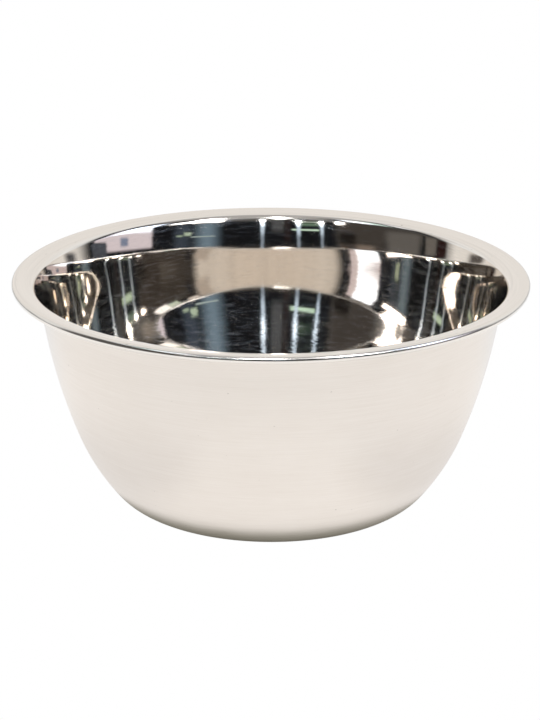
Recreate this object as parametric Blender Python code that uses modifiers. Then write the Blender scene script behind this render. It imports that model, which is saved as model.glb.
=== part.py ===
"""Mixing bowl: one stainless sheet turned about +Z, standing on its flat base at z = 0.

The sheet runs from the centre of the base out through the knuckle, up the
bellied wall, out along a gentle flare, over the mouth fillet, along the rising
flange and round an open curl at the edge.  Everything is in metres.
"""

import math

import bmesh
import bpy

# Overall size
RIM_RADIUS = 0.1320
BOWL_HEIGHT = 0.1193
SHEET = 0.0007

# Underside of the sheet, from the base outwards
BASE_RADIUS = 0.0620
KNUCKLE_RADIUS = 0.0268
KNUCKLE_TURN = math.radians(50.8)
LOWER_RADIUS = 0.1104
LOWER_TURN = math.radians(17.9)
BELLY_RADIUS = 0.2932
BELLY_TURN = math.radians(10.6)

# Mouth and flange
FLARE_RADIUS = 0.0720
FLARE_TURN = math.radians(11.2)
MOUTH_FILLET = 0.0046  # on the upper face of the sheet
FLANGE_RISE = math.radians(8.8)
CURL_RADIUS = 0.0020  # outer face of the curled edge
CURL_END = math.radians(-270.0)  # the sheet's cut edge faces straight up here

# Facets
STEPS_ROUND = 80
KNUCKLE_STEPS = 6
LOWER_STEPS = 3
BELLY_STEPS = 3
FLARE_STEPS = 3
FILLET_STEPS = 4
CURL_STEPS = 10

STEEL = (0.78, 0.76, 0.74, 1.0)
STEEL_ROUGHNESS = 0.22
SMOOTH_ANGLE = math.radians(32.0)


def clear_scene():
    for obj in list(bpy.data.objects):
        bpy.data.objects.remove(obj, do_unlink=True)


def arc(start, heading, radius, turn, steps):
    """Points (r, z, heading) after start, along an arc that begins in the given heading."""
    side = math.copysign(1.0, turn)
    r0, z0 = start
    points = []
    for i in range(1, steps + 1):
        angle = heading + turn * i / steps
        r = r0 + side * radius * (math.sin(angle) - math.sin(heading))
        z = z0 - side * radius * (math.cos(angle) - math.cos(heading))
        points.append((r, z, angle))
    return points


def wall_and_flange_runs(wall_start, wall_heading):
    """Straight lengths of wall and flange that bring the curl to the rim radius and height."""
    bend = MOUTH_FILLET - SHEET
    lip_heading = wall_heading - FLARE_TURN
    across = FLARE_RADIUS * (math.sin(wall_heading) - math.sin(lip_heading))
    across += bend * (math.sin(lip_heading) - math.sin(FLANGE_RISE))
    up = FLARE_RADIUS * (math.cos(lip_heading) - math.cos(wall_heading))
    up += bend * (math.cos(FLANGE_RISE) - math.cos(lip_heading))
    curl = CURL_RADIUS - SHEET
    centre_r = RIM_RADIUS - CURL_RADIUS
    centre_z = BOWL_HEIGHT - CURL_RADIUS
    flange_end_r = centre_r - curl * math.sin(FLANGE_RISE)
    flange_end_z = centre_z + curl * math.cos(FLANGE_RISE)
    gap_r = flange_end_r - across - wall_start[0]
    gap_z = flange_end_z - up - wall_start[1]
    c1, s1 = math.cos(wall_heading), math.sin(wall_heading)
    c2, s2 = math.cos(FLANGE_RISE), math.sin(FLANGE_RISE)
    det = c1 * s2 - c2 * s1
    wall = (gap_r * s2 - c2 * gap_z) / det
    flange = (c1 * gap_z - gap_r * s1) / det
    return wall, flange


def underside():
    """The under and outer face of the sheet as (r, z, heading), from the base edge to the cut edge."""
    path = [(BASE_RADIUS, 0.0, 0.0)]
    for radius, turn, steps in (
        (KNUCKLE_RADIUS, KNUCKLE_TURN, KNUCKLE_STEPS),
        (LOWER_RADIUS, LOWER_TURN, LOWER_STEPS),
        (BELLY_RADIUS, BELLY_TURN, BELLY_STEPS),
    ):
        r, z, heading = path[-1]
        path += arc((r, z), heading, radius, turn, steps)

    r, z, heading = path[-1]
    wall, flange = wall_and_flange_runs((r, z), heading)
    r += wall * math.cos(heading)
    z += wall * math.sin(heading)
    path.append((r, z, heading))
    path += arc((r, z), heading, FLARE_RADIUS, -FLARE_TURN, FLARE_STEPS)

    r, z, heading = path[-1]
    path += arc((r, z), heading, MOUTH_FILLET - SHEET, FLANGE_RISE - heading, FILLET_STEPS)

    r, z, heading = path[-1]
    r += flange * math.cos(heading)
    z += flange * math.sin(heading)
    path.append((r, z, heading))
    path += arc((r, z), heading, CURL_RADIUS - SHEET, CURL_END - heading, CURL_STEPS)
    return path


def sheet_profile():
    """Closed section of the sheet: up the inner face, round the curl, down the outer face."""
    under = underside()
    upper = [(r - SHEET * math.sin(a), z + SHEET * math.cos(a)) for r, z, a in under]
    lower = [(r, z) for r, z, _ in under]
    return [(0.0, SHEET)] + upper + lower[::-1] + [(0.0, 0.0)]


def steel_material():
    material = bpy.data.materials.new("stainless_steel")
    material.use_nodes = True
    shader = material.node_tree.nodes["Principled BSDF"]
    shader.inputs["Base Color"].default_value = STEEL
    shader.inputs["Metallic"].default_value = 1.0
    shader.inputs["Roughness"].default_value = STEEL_ROUGHNESS
    return material


def turned(name, profile, collection, material):
    """The profile at +X turned about +Z into one closed mesh object."""
    mesh = bpy.data.meshes.new(name)
    builder = bmesh.new()
    points = [builder.verts.new((r, 0.0, z)) for r, z in profile]
    for first, second in zip(points, points[1:]):
        builder.edges.new((first, second))
    builder.to_mesh(mesh)
    builder.free()
    obj = bpy.data.objects.new(name, mesh)
    collection.objects.link(obj)
    screw = obj.modifiers.new("turn", "SCREW")
    screw.axis = "Z"
    screw.angle = 2.0 * math.pi
    screw.steps = STEPS_ROUND
    screw.render_steps = STEPS_ROUND
    screw.use_merge_vertices = True
    screw.merge_threshold = 0.00001
    obj.data.materials.append(material)
    return obj


def main():
    clear_scene()
    collection = bpy.data.collections.new("mixing_bowl")
    bpy.context.scene.collection.children.link(collection)
    bowl = turned("bowl_shell", sheet_profile(), collection, steel_material())
    bpy.context.view_layer.objects.active = bowl
    bowl.select_set(True)
    bpy.ops.object.modifier_apply(modifier="turn")
    bpy.ops.object.shade_smooth()
    bowl.data.set_sharp_from_angle(angle=SMOOTH_ANGLE)


main()
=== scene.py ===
"""Looks of a stainless steel mixing bowl.

One finely turned shell with three finishes stands on a pale table in a studio room.  The room is
seen only in the metal: a mirror polish looks like what is round it, so the room is laid out with
strip lights, a window, cards and a pale backdrop.  Lengths are in metres, angles in degrees unless
they pass through math.radians.
"""

import math

import bpy
from mathutils import Matrix, Vector


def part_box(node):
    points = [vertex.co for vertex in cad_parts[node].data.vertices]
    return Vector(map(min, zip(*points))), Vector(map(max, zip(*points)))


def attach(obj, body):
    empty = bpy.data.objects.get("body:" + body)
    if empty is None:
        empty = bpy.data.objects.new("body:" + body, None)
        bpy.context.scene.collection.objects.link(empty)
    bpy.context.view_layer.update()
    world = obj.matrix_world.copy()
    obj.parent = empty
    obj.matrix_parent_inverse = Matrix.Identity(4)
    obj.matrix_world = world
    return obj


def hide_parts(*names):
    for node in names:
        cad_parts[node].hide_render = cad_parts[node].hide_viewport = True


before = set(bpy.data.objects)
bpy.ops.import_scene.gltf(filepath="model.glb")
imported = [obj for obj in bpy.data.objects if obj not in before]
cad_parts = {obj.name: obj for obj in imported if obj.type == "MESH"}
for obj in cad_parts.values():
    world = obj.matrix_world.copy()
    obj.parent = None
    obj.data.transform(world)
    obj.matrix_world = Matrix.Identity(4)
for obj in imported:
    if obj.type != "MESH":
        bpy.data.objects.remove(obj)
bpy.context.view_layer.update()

# ---------------------------------------------------------------- sizes, in metres

SHELL_NODE = "bowl_shell"
BOWL_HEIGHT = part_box(SHELL_NODE)[1][2]
RIM_RADIUS = 0.1320
SHEET = 0.0007
BASE_RADIUS = 0.0620
KNUCKLE_RADIUS = 0.0268
KNUCKLE_TURN = math.radians(50.8)
LOWER_RADIUS = 0.1104
LOWER_TURN = math.radians(17.9)
BELLY_RADIUS = 0.2932
BELLY_TURN = math.radians(10.6)
FLARE_RADIUS = 0.0720
FLARE_TURN = math.radians(11.2)
MOUTH_FILLET = 0.0046
FLANGE_RISE = math.radians(8.8)
CURL_RADIUS = 0.0020
CURL_END = math.radians(-270.0)

# the inner face alone: dished from DISH_TOP down, then swelling out again from SWELL_TOP down, and
# level with the plain sheet at the base
DISH = 0.0003
DISH_TOP = 0.1070
DISH_FOOT = 0.0760
SWELL = 0.0012
SWELL_TOP = 0.0760
SWELL_FOOT = 0.0480

STEPS_ROUND = 400
BASE_STEPS = 8
KNUCKLE_STEPS = 16
LOWER_STEPS = 14
BELLY_STEPS = 14
WALL_STEPS = 3
FLARE_STEPS = 12
FILLET_STEPS = 14
FLANGE_STEPS = 3
CURL_STEPS = 22

INSIDE, RIM, OUTSIDE = 0, 1, 2  # finishes, in the order of the shell's materials

# ---------------------------------------------------------------- turned section


def arc(start, heading, radius, turn, steps):
    """Points (r, z, heading) along an arc from start; a positive turn bends it to the left."""
    side = math.copysign(1.0, turn)
    r0, z0 = start
    points = []
    for i in range(1, steps + 1):
        angle = heading + turn * i / steps
        r = r0 + side * radius * (math.sin(angle) - math.sin(heading))
        z = z0 - side * radius * (math.cos(angle) - math.cos(heading))
        points.append((r, z, angle))
    return points


def straight(start, heading, run, steps):
    """Points (r, z, heading) along a straight run from start."""
    r0, z0 = start
    points = []
    for i in range(1, steps + 1):
        reach = run * i / steps
        points.append((r0 + reach * math.cos(heading), z0 + reach * math.sin(heading), heading))
    return points


def wall_and_flange_runs(wall_start, wall_heading):
    """Lengths of the straight wall and the straight flange that close the section."""
    bend = MOUTH_FILLET - SHEET
    lip_heading = wall_heading - FLARE_TURN
    across = FLARE_RADIUS * (math.sin(wall_heading) - math.sin(lip_heading))
    across += bend * (math.sin(lip_heading) - math.sin(FLANGE_RISE))
    up = FLARE_RADIUS * (math.cos(lip_heading) - math.cos(wall_heading))
    up += bend * (math.cos(FLANGE_RISE) - math.cos(lip_heading))
    curl = CURL_RADIUS - SHEET
    flange_end_r = RIM_RADIUS - CURL_RADIUS - curl * math.sin(FLANGE_RISE)
    flange_end_z = BOWL_HEIGHT - CURL_RADIUS + curl * math.cos(FLANGE_RISE)
    gap_r = flange_end_r - across - wall_start[0]
    gap_z = flange_end_z - up - wall_start[1]
    c1, s1 = math.cos(wall_heading), math.sin(wall_heading)
    c2, s2 = math.cos(FLANGE_RISE), math.sin(FLANGE_RISE)
    det = c1 * s2 - c2 * s1
    return (gap_r * s2 - c2 * gap_z) / det, (c1 * gap_z - gap_r * s1) / det


def underside():
    """The outer line of the sheet, from the base's edge to the curl's, and where its wall ends."""
    line = [(BASE_RADIUS, 0.0, 0.0)]
    for radius, turn, steps in (
        (KNUCKLE_RADIUS, KNUCKLE_TURN, KNUCKLE_STEPS),
        (LOWER_RADIUS, LOWER_TURN, LOWER_STEPS),
        (BELLY_RADIUS, BELLY_TURN, BELLY_STEPS),
    ):
        line += arc(line[-1][:2], line[-1][2], radius, turn, steps)
    heading = line[-1][2]
    wall_run, flange_run = wall_and_flange_runs(line[-1][:2], heading)
    line += straight(line[-1][:2], heading, wall_run, WALL_STEPS)
    line += arc(line[-1][:2], heading, FLARE_RADIUS, -FLARE_TURN, FLARE_STEPS)
    wall_end = len(line)
    lip_heading = line[-1][2]
    line += arc(line[-1][:2], lip_heading, MOUTH_FILLET - SHEET, FLANGE_RISE - lip_heading, FILLET_STEPS)
    line += straight(line[-1][:2], FLANGE_RISE, flange_run, FLANGE_STEPS)
    line += arc(line[-1][:2], FLANGE_RISE, CURL_RADIUS - SHEET, CURL_END - FLANGE_RISE, CURL_STEPS)
    return line, wall_end


def eased(share):
    """0..1 held at the ends, with a soft start and a soft stop."""
    share = min(1.0, max(0.0, share))
    return share * share * (3.0 - 2.0 * share)


def thickness(z):
    """Thickness of the wall at height z, with the dish and the swell of its inner face."""
    change = SWELL * eased((SWELL_TOP - z) / (SWELL_TOP - SWELL_FOOT))
    change -= DISH * eased((DISH_TOP - z) / (DISH_TOP - DISH_FOOT))
    return SHEET + change * eased(z / SWELL_FOOT)


def section():
    """The closed section as (r, z, finish) rows, from the axis inside to the axis underneath."""
    lower, wall_end = underside()
    upper = [(r - thickness(z) * math.sin(a), z + SHEET * math.cos(a)) for r, z, a in lower]
    rows = [(BASE_RADIUS * i / BASE_STEPS, SHEET, INSIDE) for i in range(BASE_STEPS)]
    for i, (r, z) in enumerate(upper):
        finish = INSIDE if i < wall_end else RIM
        rows.append((r, z, finish))
    for i in range(len(lower) - 1, -1, -1):
        finish = RIM if i >= wall_end else OUTSIDE
        rows.append((lower[i][0], lower[i][1], finish))
    rows += [(BASE_RADIUS * i / BASE_STEPS, 0.0, OUTSIDE) for i in range(BASE_STEPS - 1, -1, -1)]
    return rows


def turned_mesh(name, rows, steps):
    """A closed mesh from section rows turned about the axis; the first and last row lie on it."""
    ring_rows = rows[1:-1]
    vertices = [(0.0, 0.0, rows[0][1])]
    for r, z, _ in ring_rows:
        for k in range(steps):
            angle = 2.0 * math.pi * k / steps
            vertices.append((r * math.cos(angle), r * math.sin(angle), z))
    last = len(vertices)
    vertices.append((0.0, 0.0, rows[-1][1]))
    faces, finishes = [], []
    for k in range(steps):
        nxt = (k + 1) % steps
        faces.append((0, 1 + k, 1 + nxt))
        finishes.append(rows[0][2])
    for i in range(len(ring_rows) - 1):
        a, b = 1 + i * steps, 1 + (i + 1) * steps
        for k in range(steps):
            nxt = (k + 1) % steps
            faces.append((a + k, b + k, b + nxt, a + nxt))
            finishes.append(ring_rows[i + 1][2])
    base = 1 + (len(ring_rows) - 1) * steps
    for k in range(steps):
        nxt = (k + 1) % steps
        faces.append((base + k, last, base + nxt))
        finishes.append(rows[-1][2])
    mesh = bpy.data.meshes.new(name)
    mesh.from_pydata(vertices, [], faces)
    mesh.polygons.foreach_set("material_index", finishes)
    mesh.polygons.foreach_set("use_smooth", [True] * len(faces))
    mesh.update()
    return mesh


# ---------------------------------------------------------------- node helpers


class Graph:
    """Short names for building a node tree."""

    def __init__(self, tree):
        self.tree = tree
        tree.nodes.clear()

    def node(self, kind, **settings):
        made = self.tree.nodes.new(kind)
        for key, value in settings.items():
            setattr(made, key, value)
        return made

    def plug(self, socket, value):
        """Links a socket, or sets its value; a colour of three channels gets a full fourth."""
        if isinstance(value, bpy.types.NodeSocket):
            self.tree.links.new(value, socket)
        elif isinstance(value, (tuple, list)) and len(value) == 3 and len(socket.default_value) == 4:
            socket.default_value = (*value, 1.0)
        else:
            socket.default_value = value

    def math(self, operation, a, b=None, c=None):
        made = self.node("ShaderNodeMath", operation=operation)
        for socket, value in zip(made.inputs, (a, b, c)):
            if value is not None:
                self.plug(socket, value)
        return made.outputs[0]

    def hypotenuse(self, a, b):
        """Length of the flat vector (a, b)."""
        squares = self.math("MULTIPLY_ADD", a, a, self.math("MULTIPLY", b, b))
        return self.math("SQRT", squares)

    def vector(self, operation, a, b=None, scale=None):
        made = self.node("ShaderNodeVectorMath", operation=operation)
        self.plug(made.inputs[0], a)
        if b is not None:
            self.plug(made.inputs[1], b)
        if scale is not None:
            self.plug(made.inputs["Scale"], scale)
        return made.outputs["Value" if operation in ("DOT_PRODUCT", "LENGTH") else "Vector"]

    def combine(self, x, y, z):
        """Joins three numbers into one vector."""
        made = self.node("ShaderNodeCombineXYZ")
        for socket, value in zip(made.inputs, (x, y, z)):
            self.plug(socket, value)
        return made.outputs[0]

    def separate(self, vector):
        made = self.node("ShaderNodeSeparateXYZ")
        self.plug(made.inputs[0], vector)
        return made.outputs

    def mix(self, share, a, b):
        """The colour a at share 0 and b at share 1."""
        made = self.node("ShaderNodeMix", data_type="RGBA")
        self.plug(made.inputs["Factor"], share)
        self.plug(made.inputs[6], a)
        self.plug(made.inputs[7], b)
        return made.outputs[2]

    def ramp(self, value, low, high, to_low=0.0, to_high=1.0, smooth=True):
        """Maps value from low..high to to_low..to_high, held at the ends."""
        made = self.node("ShaderNodeMapRange")
        made.interpolation_type = "SMOOTHSTEP" if smooth else "LINEAR"
        for socket, item in zip(made.inputs, (value, low, high, to_low, to_high)):
            self.plug(socket, item)
        return made.outputs[0]

    def noise(self, vector, scale, detail=2.0, roughness=0.5):
        made = self.node("ShaderNodeTexNoise")
        self.plug(made.inputs["Vector"], vector)
        made.inputs["Scale"].default_value = scale
        made.inputs["Detail"].default_value = detail
        made.inputs["Roughness"].default_value = roughness
        return made.outputs["Fac"]


# ---------------------------------------------------------------- turned-metal finishes


ON_AXIS = 1e-5  # keeps the directions defined where the surface meets the axis


def turned_frame(g):
    """Directions and coordinates on a turned surface: round it, along its section, and its height."""
    position = g.node("ShaderNodeTexCoord").outputs["Object"]
    normal = g.node("ShaderNodeNewGeometry").outputs["Normal"]
    x, y, z = g.separate(position)
    radius = g.math("MAXIMUM", g.hypotenuse(x, y), ON_AXIS)
    cosine = g.math("DIVIDE", x, radius)
    sine = g.math("DIVIDE", y, radius)
    around = g.combine(g.math("MULTIPLY", sine, -1.0), cosine, 0.0)
    along = g.vector("CROSS_PRODUCT", normal, around)
    travel = g.math("ADD", radius, z)
    return {
        "position": position,
        "normal": normal,
        "around": around,
        "along": along,
        "cosine": cosine,
        "sine": sine,
        "travel": travel,
        "radius": radius,
        "height": z,
    }


def lathe_noise(g, f, per_metre, per_turn, detail=2.0, shift=0.0, roughness=0.5):
    """Noise drawn out round the axis: fine along the section, long round the bowl.

    per_metre is how fine it is along the section and per_turn how fine it is round the axis; shift
    keeps two noises of the same kind from coinciding.
    """
    vector = g.combine(
        g.math("MULTIPLY", f["cosine"], per_turn),
        g.math("MULTIPLY", f["sine"], per_turn),
        g.math("MULTIPLY_ADD", f["travel"], per_metre, shift),
    )
    return g.noise(vector, 1.0, detail, roughness)


def tilted(g, f, around_tilt, along_tilt):
    """The surface normal tilted by the two small amounts."""
    lean = g.vector("SCALE", f["around"], scale=around_tilt)
    nod = g.vector("SCALE", f["along"], scale=along_tilt)
    leaning = g.vector("ADD", f["normal"], lean)
    return g.vector("NORMALIZE", g.vector("ADD", leaning, nod))


def centred(g, value, size):
    """Noise 0..1 turned into -size..size."""
    return g.math("MULTIPLY", g.math("SUBTRACT", value, 0.5), 2.0 * size)


SCRATCH_WALL_RADIUS = 0.1  # turns angles round the axis into lengths
SCRATCH_KEEP = 0.66
SCRATCH_EDGE = 0.05
SCRATCH_SHIFT = 7.0  # keeps the three sets from coinciding
SCRATCHES = (
    # slant in radians, strokes per metre across them, how many times longer than wide
    (0.9, 4500.0, 26.0),
    (-0.7, 4000.0, 30.0),
    (0.25, 4200.0, 40.0),
)


def scratches(g, f):
    """Sparse fine strokes, slanting each way across the turning direction."""
    angle = g.math("ARCTAN2", f["sine"], f["cosine"])
    u = g.math("MULTIPLY", angle, SCRATCH_WALL_RADIUS)
    v = f["travel"]
    strokes = None
    for slant, per_metre, stretch in SCRATCHES:
        c, s = math.cos(slant), math.sin(slant)
        across = g.math("ADD", g.math("MULTIPLY", u, -s), g.math("MULTIPLY", v, c))
        down = g.math("ADD", g.math("MULTIPLY", u, c), g.math("MULTIPLY", v, s))
        across = g.math("MULTIPLY", across, per_metre)
        down = g.math("MULTIPLY", down, per_metre / stretch)
        spread = g.noise(g.combine(across, down, slant * SCRATCH_SHIFT), 1.0, 3.0, 0.6)
        kept = g.ramp(spread, SCRATCH_KEEP, SCRATCH_KEEP + SCRATCH_EDGE)
        strokes = kept if strokes is None else g.math("MAXIMUM", strokes, kept)
    return strokes


def metal(g, colour, roughness, normal, anisotropy=0.0, turn=0.0):
    """A metallic Principled surface."""
    shader = g.node("ShaderNodeBsdfPrincipled")
    g.plug(shader.inputs["Base Color"], colour)
    shader.inputs["Metallic"].default_value = 1.0
    g.plug(shader.inputs["Roughness"], roughness)
    g.plug(shader.inputs["Normal"], normal)
    if anisotropy:
        tangent = g.node("ShaderNodeTangent", direction_type="RADIAL", axis="Z")
        g.plug(shader.inputs["Tangent"], tangent.outputs[0])
        g.plug(shader.inputs["Anisotropic"], anisotropy)
        shader.inputs["Anisotropic Rotation"].default_value = turn
    return shader.outputs[0]


def surface(g, shader):
    """Joins a shader to the material output."""
    out = g.node("ShaderNodeOutputMaterial")
    g.tree.links.new(shader, out.inputs["Surface"])


def veiled(g, share, sharp, soft):
    """A sharp reflection with a share of a soft one over it."""
    made = g.node("ShaderNodeMixShader")
    g.plug(made.inputs[0], share)
    g.tree.links.new(sharp, made.inputs[1])
    g.tree.links.new(soft, made.inputs[2])
    return made.outputs[0]


def scaled(colour, share):
    """A colour made lighter or darker."""
    return tuple(channel * share for channel in colour)


def new_material(name):
    """A material and the graph of its empty node tree."""
    material = bpy.data.materials.new(name)
    material.use_nodes = True
    return material, Graph(material.node_tree)


MIRROR_STEEL = (0.80, 0.735, 0.66)
VEIL_STEEL = (0.66, 0.74, 0.84)
BRIGHT_STEEL = (0.86, 0.83, 0.79)
SATIN_STEEL = (0.86, 0.815, 0.765)
SATIN_DARK = (0.81, 0.76, 0.705)
SPECK = (0.30, 0.27, 0.24)

# inside: tilts are sines of small angles, roughness is the shader's own 0..1
FINE_TILT = 0.018
HAIR_TILT = 0.020
COARSE_TILT = 0.002
NOD_TILT = 0.004
DEEP_HEIGHT = 0.056  # below this the turned lines have their full tilt
SHALLOW_HEIGHT = 0.078
SHALLOW_SHARE = 0.30
MIRROR_ROUGHNESS = 0.040
HAZE_ROUGHNESS = 0.015
SCRATCH_ROUGHNESS = 0.16
VEIL_ROUGHNESS = 0.30
VEIL_MOST = 0.10

# flange and curl
RIM_TILT_AROUND = 0.010
RIM_TILT_ALONG = 0.020
RIM_ROUGHNESS = 0.09
RIM_LINE_ROUGHNESS = 0.05
CURL_ROUGHNESS = 0.09

# outside
SATIN_CLOSE_TILT = 0.050
SATIN_BROAD_TILT = 0.006
SATIN_AROUND_TILT = 0.020
SATIN_ROUGHNESS = 0.24
SATIN_LINE_ROUGHNESS = 0.08
SATIN_CLOUD_ROUGHNESS = 0.06
SATIN_SPECK_SHARE = 0.4
SATIN_DRAWN_OUT = 0.6
SATIN_TURN = 0.25


def inside_finish():
    """Mirror polish with the fine turned lines of a polishing wheel, and light scratches from use."""
    material, g = new_material("inside_mirror_polish")
    f = turned_frame(g)
    fine = lathe_noise(g, f, per_metre=2700.0, per_turn=15.0, detail=1.0)
    hair = lathe_noise(g, f, per_metre=5200.0, per_turn=34.0, detail=1.0, shift=70.0)
    coarse = lathe_noise(g, f, per_metre=500.0, per_turn=5.0, detail=1.0, shift=40.0)
    nod = lathe_noise(g, f, per_metre=1500.0, per_turn=6.0, shift=90.0)
    depth = g.ramp(f["height"], SHALLOW_HEIGHT, DEEP_HEIGHT, SHALLOW_SHARE, 1.0)
    around_tilt = g.math("ADD", centred(g, fine, FINE_TILT), centred(g, hair, HAIR_TILT))
    around_tilt = g.math("MULTIPLY", around_tilt, depth)
    around_tilt = g.math("ADD", around_tilt, centred(g, coarse, COARSE_TILT))
    normal = tilted(g, f, around_tilt, centred(g, nod, NOD_TILT))

    hazy = g.ramp(g.noise(f["position"], 22.0, 3.0), 0.40, 0.75)
    roughness = g.math("MULTIPLY_ADD", hazy, HAZE_ROUGHNESS, MIRROR_ROUGHNESS)
    roughness = g.math("MULTIPLY_ADD", scratches(g, f), SCRATCH_ROUGHNESS, roughness)
    lines = g.ramp(g.math("ADD", fine, hair), 0.70, 1.30, smooth=False)
    colour = g.mix(lines, scaled(MIRROR_STEEL, 0.965), scaled(MIRROR_STEEL, 1.03))
    polished = metal(g, colour, roughness, normal)

    brushed = metal(g, VEIL_STEEL, VEIL_ROUGHNESS, normal)
    streaks = lathe_noise(g, f, per_metre=640.0, per_turn=12.0, detail=3.0, shift=130.0, roughness=0.7)
    veil = g.ramp(streaks, 0.50, 0.70, 0.0, VEIL_MOST, smooth=False)
    surface(g, veiled(g, veil, polished, brushed))
    return material


def rim_finish():
    """Bright polish with fine lines round the flange and a few dark specks."""
    material, g = new_material("rim_bright_polish")
    f = turned_frame(g)
    lines = lathe_noise(g, f, per_metre=2600.0, per_turn=3.0, detail=3.0)
    wavering = lathe_noise(g, f, per_metre=1200.0, per_turn=12.0, shift=11.0)
    normal = tilted(g, f, centred(g, wavering, RIM_TILT_AROUND), centred(g, lines, RIM_TILT_ALONG))

    specks = g.ramp(g.noise(f["position"], 700.0, 1.0), 0.77, 0.82)
    colour = g.mix(g.ramp(lines, 0.3, 0.7), scaled(BRIGHT_STEEL, 0.97), scaled(BRIGHT_STEEL, 1.02))
    colour = g.mix(specks, colour, SPECK)
    curl = g.ramp(f["radius"], RIM_RADIUS - 2.0 * CURL_RADIUS, RIM_RADIUS - CURL_RADIUS)
    roughness = g.math("MULTIPLY_ADD", lines, RIM_LINE_ROUGHNESS, RIM_ROUGHNESS)
    roughness = g.math("MULTIPLY_ADD", curl, CURL_ROUGHNESS, roughness)
    surface(g, metal(g, colour, roughness, normal))
    return material


def outside_finish():
    """Satin turned finish: close lines round the body, drawn-out blur up and down."""
    material, g = new_material("outside_satin_turned")
    f = turned_frame(g)
    close = lathe_noise(g, f, per_metre=1900.0, per_turn=5.0, detail=3.0, roughness=0.65)
    broad = lathe_noise(g, f, per_metre=420.0, per_turn=2.5, detail=3.0, shift=60.0)
    wavering = lathe_noise(g, f, per_metre=1800.0, per_turn=14.0, shift=25.0)
    cloud = g.noise(f["position"], 26.0, 4.0, 0.6)
    along_tilt = g.math("ADD", centred(g, close, SATIN_CLOSE_TILT), centred(g, broad, SATIN_BROAD_TILT))
    normal = tilted(g, f, centred(g, wavering, SATIN_AROUND_TILT), along_tilt)

    roughness = g.math("MULTIPLY", cloud, SATIN_CLOUD_ROUGHNESS)
    roughness = g.math("MULTIPLY_ADD", close, SATIN_LINE_ROUGHNESS, roughness)
    roughness = g.math("ADD", roughness, SATIN_ROUGHNESS)
    shade = g.math("MULTIPLY_ADD", close, 0.45, g.math("MULTIPLY", cloud, 0.35))
    shade = g.math("MULTIPLY_ADD", broad, 0.20, shade)
    colour = g.mix(g.ramp(shade, 0.36, 0.60, smooth=False), SATIN_DARK, SATIN_STEEL)
    specks = g.ramp(g.noise(f["position"], 520.0, 1.0), 0.79, 0.83)
    colour = g.mix(g.math("MULTIPLY", specks, SATIN_SPECK_SHARE), colour, SPECK)
    surface(g, metal(g, colour, roughness, normal, SATIN_DRAWN_OUT, SATIN_TURN))
    return material


# ---------------------------------------------------------------- studio room

# The metal mirrors a dark room on the camera's side and a pale backdrop behind the bowl.  Azimuth 0
# is towards the camera and grows to the camera's right; heights are angles above the horizon.
# A colour above 1 is a lamp.
PLAIN_WHITE = (1.0, 1.0, 1.0)
ROOM_DARK = (0.008, 0.009, 0.011)
ROOM_LIT = (0.46, 0.45, 0.44)
BACKDROP = (0.91, 0.875, 0.84)
BACKDROP_SIDE = (0.92, 0.915, 0.905)
BACKDROP_TURN = 4.0  # the backdrop's middle is this far off the line behind the bowl
BACKDROP_EDGE = (98.0, 112.0)  # it begins this far round from the camera's side
BACKDROP_WINGS = (110.0, 160.0)  # its sides pass into its middle here
LIT_HEIGHTS = (54.0, 64.0)
FOLDS_PER_DEGREE = 0.09
FOLD_DARK = 0.90
FOLD_BRIGHT = 1.02
LEFT_WALL = (0.065, 0.060, 0.056)
CAMERA_WALL = (0.060, 0.054, 0.050)

STRIP_LIGHTS = (
    # azimuth, half width, top
    (4.5, 1.1, 28.4),
    (-14.4, 1.1, 27.5),
    (-26.6, 0.9, 27.0),
)
STRIP_GLOW = (
    # low, end softness, share of the half width, colour
    (3.0, 3.0, 0.7, (0.30, 0.38, 0.48)),
    (15.0, 4.0, 0.8, (0.75, 0.95, 1.18)),
    (22.5, 2.0, 0.9, (2.6, 3.1, 3.7)),
)
STRIP_TIP = 2.0
STRIP_SIDE = 0.7
TIP_END = 1.0
TIP_GLARE = (38.0, 40.0, 42.0)

# Each card: azimuth, half width, low, high, side softness, end softness, colour.
CEILING_CARDS = (
    (0.0, 34.0, 27.0, 62.0, 8.0, 1.6, (0.13, 0.13, 0.13)),
    (0.0, 34.0, 38.0, 62.0, 8.0, 5.0, (0.40, 0.39, 0.38)),
    (-4.5, 3.3, 31.5, 56.0, 0.8, 2.0, (20.0, 20.0, 20.0)),
)
FURNITURE_CARDS = (
    # grey panel, dark post, pale post with a lamp on top and a small orange box at its foot
    (-3.5, 3.2, 17.0, 28.5, 1.5, 4.0, (0.075, 0.080, 0.085)),
    (-8.5, 1.6, 8.0, 30.0, 1.2, 5.0, (0.022, 0.015, 0.014)),
    (-37.0, 1.2, 3.0, 24.0, 1.0, 3.0, (0.13, 0.15, 0.16)),
    (-37.0, 2.4, 24.6, 29.0, 1.0, 1.0, (24.0, 24.0, 24.0)),
    (-38.5, 1.8, 3.0, 9.0, 0.8, 2.0, (0.42, 0.23, 0.09)),
    # greenish shelf edges between the strip lights
    (-20.5, 5.0, 22.4, 24.8, 1.5, 0.8, (0.13, 0.22, 0.15)),
    (-20.5, 6.5, 25.6, 26.4, 1.0, 0.3, (0.70, 0.85, 0.75)),
    (-18.0, 7.0, 18.2, 19.6, 0.6, 0.4, (0.70, 0.98, 0.80)),
)
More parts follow.
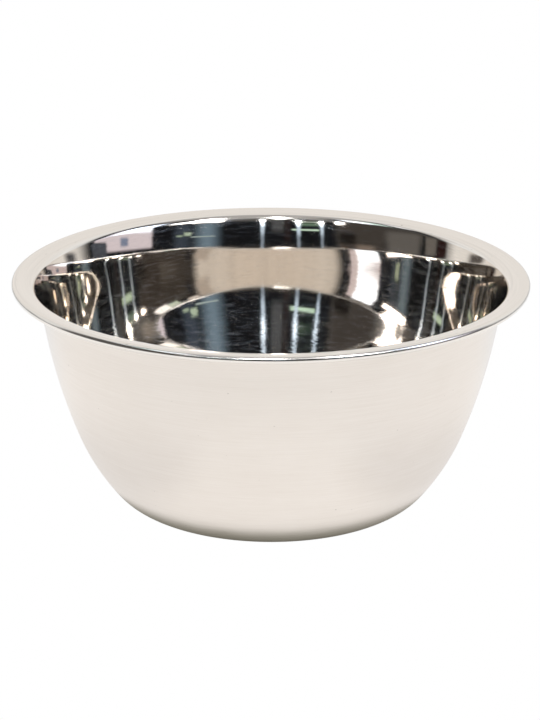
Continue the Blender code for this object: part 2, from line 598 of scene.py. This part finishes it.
WINDOW_CARDS = (
    # bluish pane, its bars and ornaments, then the bright upper part
    (33.5, 5.0, 3.0, 25.5, 5.0, 2.5, (0.175, 0.255, 0.335)),
    (36.0, 6.5, 13.4, 14.1, 0.8, 0.3, (0.50, 0.62, 0.62)),
    (47.0, 4.0, 3.0, 25.0, 3.0, 3.0, (0.045, 0.060, 0.085)),
    (44.0, 2.0, 15.0, 17.8, 0.8, 0.6, (0.50, 0.64, 0.50)),
    (48.5, 1.6, 14.4, 15.6, 0.8, 0.5, (0.40, 0.52, 0.40)),
    (40.0, 14.0, 26.6, 34.0, 2.0, 1.0, (9.0, 9.0, 9.3)),
    (38.0, 7.0, 33.0, 54.0, 2.5, 1.0, (9.0, 9.0, 9.3)),
)
RIGHT_CARDS = (
    # tall white screen with a small blue picture, and the dark things beside and above it
    (82.0, 18.0, 7.0, 22.0, 1.0, 1.5, (0.78, 0.72, 0.80)),
    (92.0, 4.0, 20.5, 44.0, 1.0, 2.0, (0.94, 0.89, 1.0)),
    (76.5, 12.0, 20.0, 46.0, 1.5, 2.0, (2.2, 2.5, 3.0)),
    (80.5, 2.4, 10.0, 16.0, 1.0, 1.5, (0.22, 0.27, 0.40)),
    (97.0, 5.0, 3.0, 13.5, 1.0, 1.0, (0.07, 0.08, 0.10)),
    (76.0, 18.0, 48.0, 57.0, 5.0, 2.0, (0.16, 0.15, 0.14)),
    (98.5, 2.0, 27.0, 52.0, 1.0, 2.0, (0.05, 0.05, 0.05)),
)
LEFT_CARDS = (
    # grey-brown wall
    (-66.0, 30.0, 12.0, 44.0, 6.0, 4.0, LEFT_WALL),
    (-48.0, 13.0, 3.0, 24.0, 3.0, 3.0, CAMERA_WALL),
    (-40.0, 4.5, 8.0, 17.5, 2.0, 2.0, (0.016, 0.014, 0.012)),
    (-72.0, 10.0, 3.0, 20.0, 3.0, 3.0, (0.135, 0.130, 0.125)),
    (-50.0, 5.0, 3.0, 7.5, 3.0, 2.0, (0.22, 0.18, 0.155)),
    # doorway, with its frame and a dark red curtain
    (-89.0, 3.5, 5.0, 18.0, 1.5, 2.5, (0.16, 0.15, 0.14)),
    (-84.5, 0.8, 6.0, 19.0, 0.4, 1.0, (0.02, 0.02, 0.02)),
    (-96.5, 3.0, 4.0, 16.0, 1.5, 2.0, (0.024, 0.010, 0.009)),
    (-91.5, 2.5, 25.0, 42.0, 1.0, 3.0, (0.030, 0.030, 0.034)),
)
BACK_CARDS = (
    # low boxes on both sides and a duller stretch of the backdrop
    (-123.0, 6.0, 2.0, 8.0, 3.0, 2.0, (0.115, 0.105, 0.10)),
    (119.0, 4.0, 2.0, 8.0, 3.0, 2.0, (0.090, 0.090, 0.098)),
    (-107.0, 7.0, 28.0, 62.0, 4.0, 3.0, (0.62, 0.585, 0.56)),
)
HIGH_LEFT_LAMPS = (
    (-53.0, 8.0, 38.0, 56.0, 2.0, 2.0, (2.0, 2.1, 2.3)),
    (-67.0, 6.0, 41.0, 56.0, 1.0, 1.5, (0.85, 1.1, 1.0)),
    (-90.0, 6.0, 46.0, 57.0, 2.0, 1.5, (1.2, 1.2, 1.25)),
)


def strip_cards():
    """Each strip light: dimmer and thinner towards the floor, glaring at its upper tip."""
    cards = []
    for azimuth, half, top in STRIP_LIGHTS:
        for low, end, share, colour in STRIP_GLOW:
            cards.append((azimuth, half * share, low, top, STRIP_SIDE, end, colour))
        cards.append((azimuth, half, top - STRIP_TIP, top, STRIP_SIDE, TIP_END, TIP_GLARE))
    return cards


def all_cards():
    """Every card, in the order they are laid over the room; later ones cover earlier ones."""
    groups = (
        CEILING_CARDS,
        FURNITURE_CARDS,
        WINDOW_CARDS,
        RIGHT_CARDS,
        LEFT_CARDS,
        BACK_CARDS,
        HIGH_LEFT_LAMPS,
        strip_cards(),
    )
    return [card for group in groups for card in group]


def with_card(g, colour, azimuth, elevation, card):
    """The room's colour with one soft-edged card laid over it."""
    centre, half, low, high, side, end, tint = card
    off = g.math("ABSOLUTE", g.math("SUBTRACT", azimuth, centre))
    mask = g.ramp(off, half + side, half - side)
    mask = g.math("MULTIPLY", mask, g.ramp(elevation, low - end, low + end))
    mask = g.math("MULTIPLY", mask, g.ramp(elevation, high + end, high - end))
    return g.mix(mask, colour, tint)


def room_colour(g, azimuth, elevation):
    """The room before its cards: dark towards the camera, pale behind, lit overhead."""
    away = g.math("ABSOLUTE", g.math("SUBTRACT", azimuth, BACKDROP_TURN))
    behind = g.ramp(away, *BACKDROP_EDGE)
    front = g.mix(g.ramp(elevation, *LIT_HEIGHTS), ROOM_DARK, ROOM_LIT)
    backdrop = g.mix(g.ramp(away, *BACKDROP_WINGS), BACKDROP_SIDE, BACKDROP)
    along = g.math("MULTIPLY", azimuth, FOLDS_PER_DEGREE)
    folds = g.noise(g.combine(along, 0.0, 0.0), 1.0, 1.0)
    folds = g.ramp(folds, 0.3, 0.7, FOLD_DARK, FOLD_BRIGHT, smooth=False)
    backdrop = g.vector("SCALE", backdrop, scale=folds)
    return g.mix(behind, front, backdrop)


def studio_world():
    """White for the camera; the room, with its cards, for the metal."""
    world = bpy.data.worlds.new("studio_room")
    bpy.context.scene.world = world
    world.use_nodes = True
    g = Graph(world.node_tree)
    direction = g.node("ShaderNodeTexCoord").outputs["Generated"]
    x, y, z = g.separate(direction)
    azimuth = g.math("DEGREES", g.math("ARCTAN2", x, g.math("MULTIPLY", y, -1.0)))
    elevation = g.math("DEGREES", g.math("ARCSINE", z))
    colour = room_colour(g, azimuth, elevation)
    for card in all_cards():
        colour = with_card(g, colour, azimuth, elevation, card)
    seen = g.node("ShaderNodeLightPath").outputs["Is Camera Ray"]
    colour = g.mix(seen, colour, PLAIN_WHITE)
    background = g.node("ShaderNodeBackground")
    g.plug(background.inputs["Color"], colour)
    out = g.node("ShaderNodeOutputWorld")
    g.plug(out.inputs["Surface"], background.outputs[0])


# ---------------------------------------------------------------- table

FLOOR_HALF = 6.0
FLOOR_GAP = 0.0002  # keeps the table just under the bowl's base

# what the metal sees of the table, with painted light and shade: colours, and the distances from the
# axis where they change
# painted contact shadow of the bowl on the table, darkest right at the base
FLOOR_DEEP_SHADOW = (0.08, 0.078, 0.062)
FLOOR_SHADE = (0.27, 0.262, 0.225)
FLOOR_GLOW = (1.01, 0.985, 0.965)
# painted shade on the table's sides near the bowl, painted light a little brighter farther out, and a
# little dimmer and cooler behind the bowl
FLOOR_SIDE_SHADE = (0.88, 0.86, 0.85)
FLOOR_OUT = (1.02, 1.0, 0.985)
FLOOR_FAR = (0.95, 0.965, 0.985)
PAST_TABLE = (0.10, 0.094, 0.086)
DEEP_REACH = 0.065
SHADE_REACH = 0.0815
GLOW_REACH = 0.0865
SIDE_REACH = (0.05, 0.10)
OUT_REACH = (0.12, 0.20)
FAR_REACH = (0.04, 0.25)
TABLE_REACH = (0.40, 0.48)
TABLE_DEPTH_TO_WIDTH = 0.6
CONTACT_SHADE = 0.90  # how dark the camera sees the table right at the base's edge


def table_in_metal(g, x, y, reach):
    """The table as the metal mirrors it: a painted shadow round the base, painted shade at its sides,
    pale outside, ending at its edge.
    """
    contact_shadow = g.mix(g.ramp(reach, DEEP_REACH, SHADE_REACH), FLOOR_DEEP_SHADOW, FLOOR_SHADE)
    # painted shade at the sides near the bowl, painted light brighter farther out and cooler behind it
    lit = g.mix(g.ramp(g.math("ABSOLUTE", x), *SIDE_REACH), FLOOR_GLOW, FLOOR_SIDE_SHADE)
    lit = g.mix(g.ramp(reach, *OUT_REACH), lit, FLOOR_OUT)
    lit = g.mix(g.ramp(y, *FAR_REACH), lit, FLOOR_FAR)
    mirrored = g.mix(g.ramp(reach, SHADE_REACH, GLOW_REACH), contact_shadow, lit)
    near = g.math("MINIMUM", y, 0.0)
    side = g.math("MULTIPLY", x, TABLE_DEPTH_TO_WIDTH)
    past_edge = g.ramp(g.hypotenuse(side, near), *TABLE_REACH)
    return g.mix(past_edge, mirrored, PAST_TABLE)


def table_material():
    """White to the camera, with a faint contact shade; the lit table to the metal."""
    material, g = new_material("pale_table")
    x, y, _ = g.separate(g.node("ShaderNodeTexCoord").outputs["Object"])
    reach = g.hypotenuse(x, y)
    faint = g.ramp(reach, BASE_RADIUS, DEEP_REACH, CONTACT_SHADE, 1.0)
    looked_at = g.combine(faint, faint, faint)
    seen = g.node("ShaderNodeLightPath").outputs["Is Camera Ray"]
    shader = g.node("ShaderNodeEmission")
    g.plug(shader.inputs["Color"], g.mix(seen, table_in_metal(g, x, y, reach), looked_at))
    surface(g, shader.outputs[0])
    return material


def studio_floor():
    """The pale table top."""
    near, far = -FLOOR_HALF, FLOOR_HALF
    corners = [(near, near), (far, near), (far, far), (near, far)]
    mesh = bpy.data.meshes.new("studio_floor")
    mesh.from_pydata([(x, y, -FLOOR_GAP) for x, y in corners], [], [(0, 1, 2, 3)])
    mesh.materials.append(table_material())
    floor = bpy.data.objects.new("studio_floor", mesh)
    bpy.context.scene.collection.objects.link(floor)


# ---------------------------------------------------------------- camera

SENSOR = 36.0  # the picture's height, in millimetres
FOCAL_LENGTH = 127.85
SIGHT_RISE = math.radians(18.64)
SIGHT_REACH = 10.0 * RIM_RADIUS
SIGHT_HEIGHT = 0.5581 * RIM_RADIUS
ROLL = math.radians(0.17)
SHIFT_LEFT = 0.00097  # of the picture's height
SHIFT_DOWN = 0.00069


def place_camera():
    """A long lens looking down at the bowl's middle from the front."""
    data = bpy.data.cameras.new("front_view")
    data.sensor_width = SENSOR
    data.lens = FOCAL_LENGTH
    data.shift_x = -SHIFT_LEFT
    data.shift_y = -SHIFT_DOWN
    camera = bpy.data.objects.new("front_view", data)
    back = SIGHT_REACH * math.cos(SIGHT_RISE)
    place = Vector((0.0, -back, SIGHT_HEIGHT + SIGHT_REACH * math.sin(SIGHT_RISE)))
    aim = Vector((0.0, 0.0, SIGHT_HEIGHT)) - place
    turn = aim.to_track_quat("-Z", "Y").to_matrix().to_4x4()
    camera.matrix_world = Matrix.Translation(place) @ turn @ Matrix.Rotation(ROLL, 4, "Z")
    bpy.context.scene.collection.objects.link(camera)
    bpy.context.scene.camera = camera


# ---------------------------------------------------------------- the piece


def build_shell():
    """The bowl as one piece that stands for the CAD shell."""
    mesh = turned_mesh("bowl_shell_fine", section(), STEPS_ROUND)
    for material in (inside_finish(), rim_finish(), outside_finish()):
        mesh.materials.append(material)
    shell = bpy.data.objects.new("bowl_shell_fine", mesh)
    bpy.context.scene.collection.objects.link(shell)
    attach(shell, "root")
    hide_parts(SHELL_NODE)


def set_picture():
    """Colours as they are, with no film curve."""
    view = bpy.context.scene.view_settings
    view.view_transform = "Standard"
    view.look = "None"
    view.exposure = 0.0
    view.gamma = 1.0


build_shell()
studio_world()
studio_floor()
place_camera()
set_picture()
